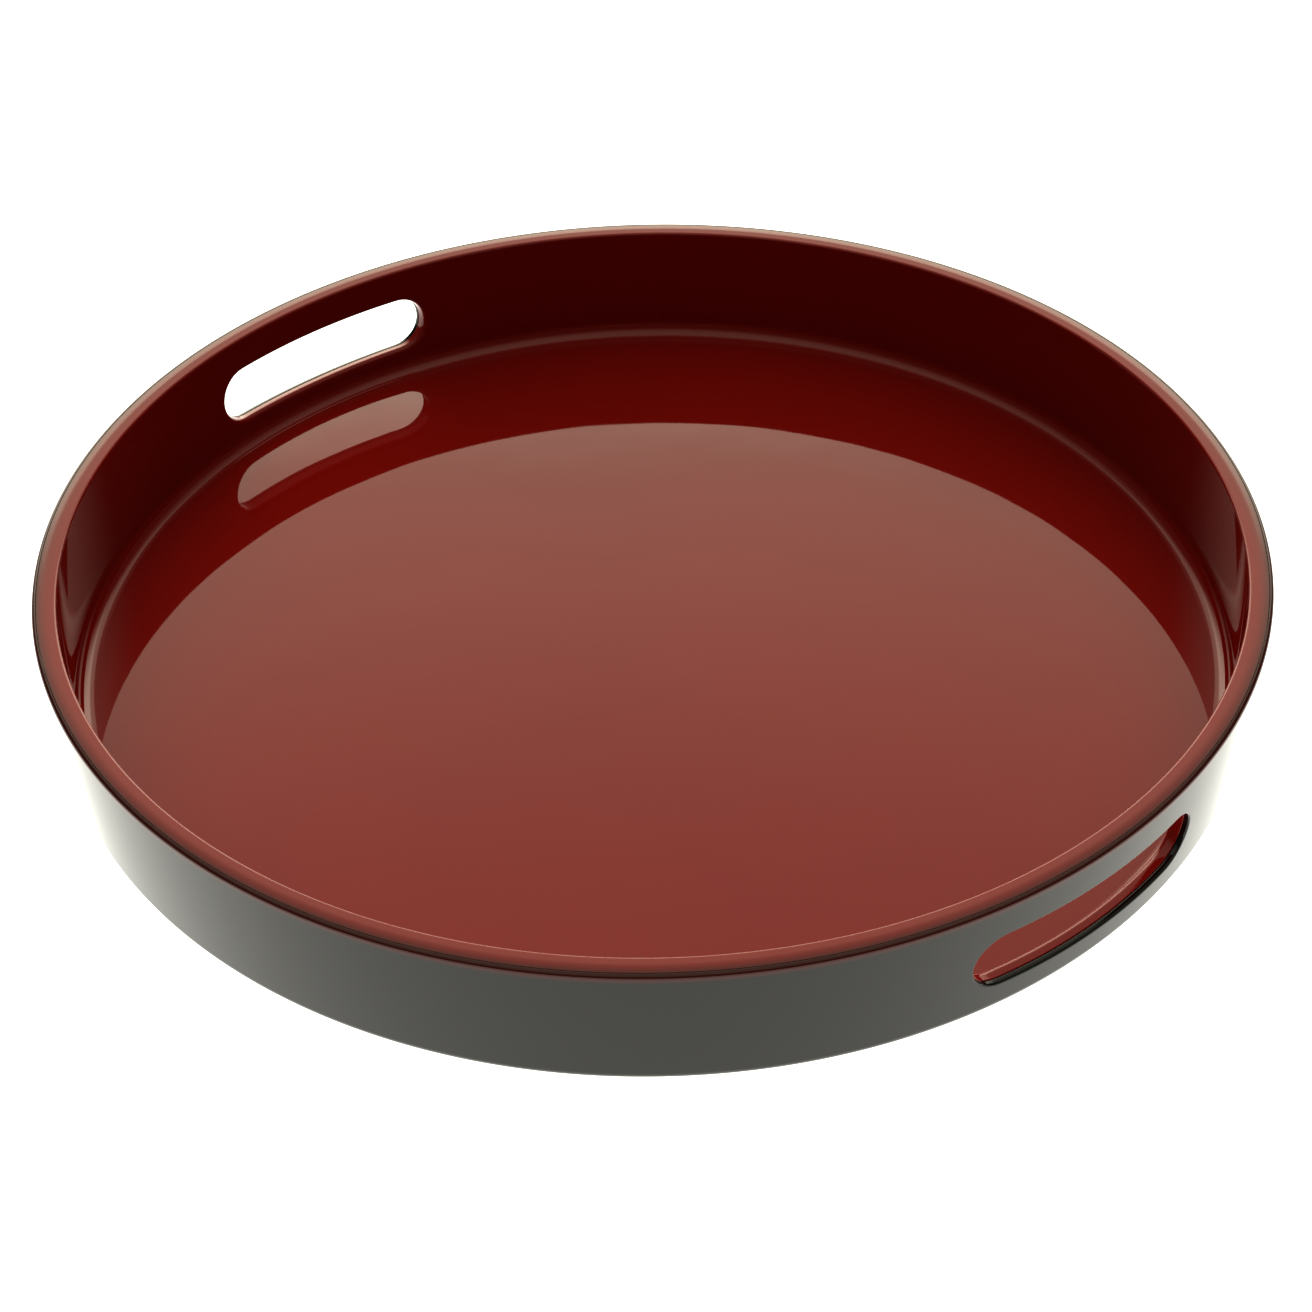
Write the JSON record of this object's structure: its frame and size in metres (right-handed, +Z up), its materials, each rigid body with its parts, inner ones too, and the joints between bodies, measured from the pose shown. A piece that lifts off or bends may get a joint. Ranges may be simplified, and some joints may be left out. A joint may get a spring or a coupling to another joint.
{
  "type": "serving tray",
  "caption": "Round serving tray with a raised wall and a hand slot through each side, made as a red inner dish nested in a black outer shell on rubber pads.",
  "frame": {"origin": "centre of the tray on the surface it stands on, level with the undersides of the foot pads", "axes": "+Z up; +X out through the right hand slot and -X out through the left one; -Y is the front"},
  "size_m": [0.38, 0.38, 0.0445],
  "materials": {
    "red_lacquer": "high gloss red lacquer sprayed on moulded ABS, polished",
    "black_lacquer": "high gloss black lacquer sprayed on moulded ABS",
    "pad_rubber": "matt moulded rubber"
  },
  "bodies": {
    "root": {"inner_dish": "red_lacquer", "outer_shell": "black_lacquer", "foot_front_left": "pad_rubber", "foot_front_right": "pad_rubber", "foot_back_left": "pad_rubber", "foot_back_right": "pad_rubber"}
  },
  "joints": []
}
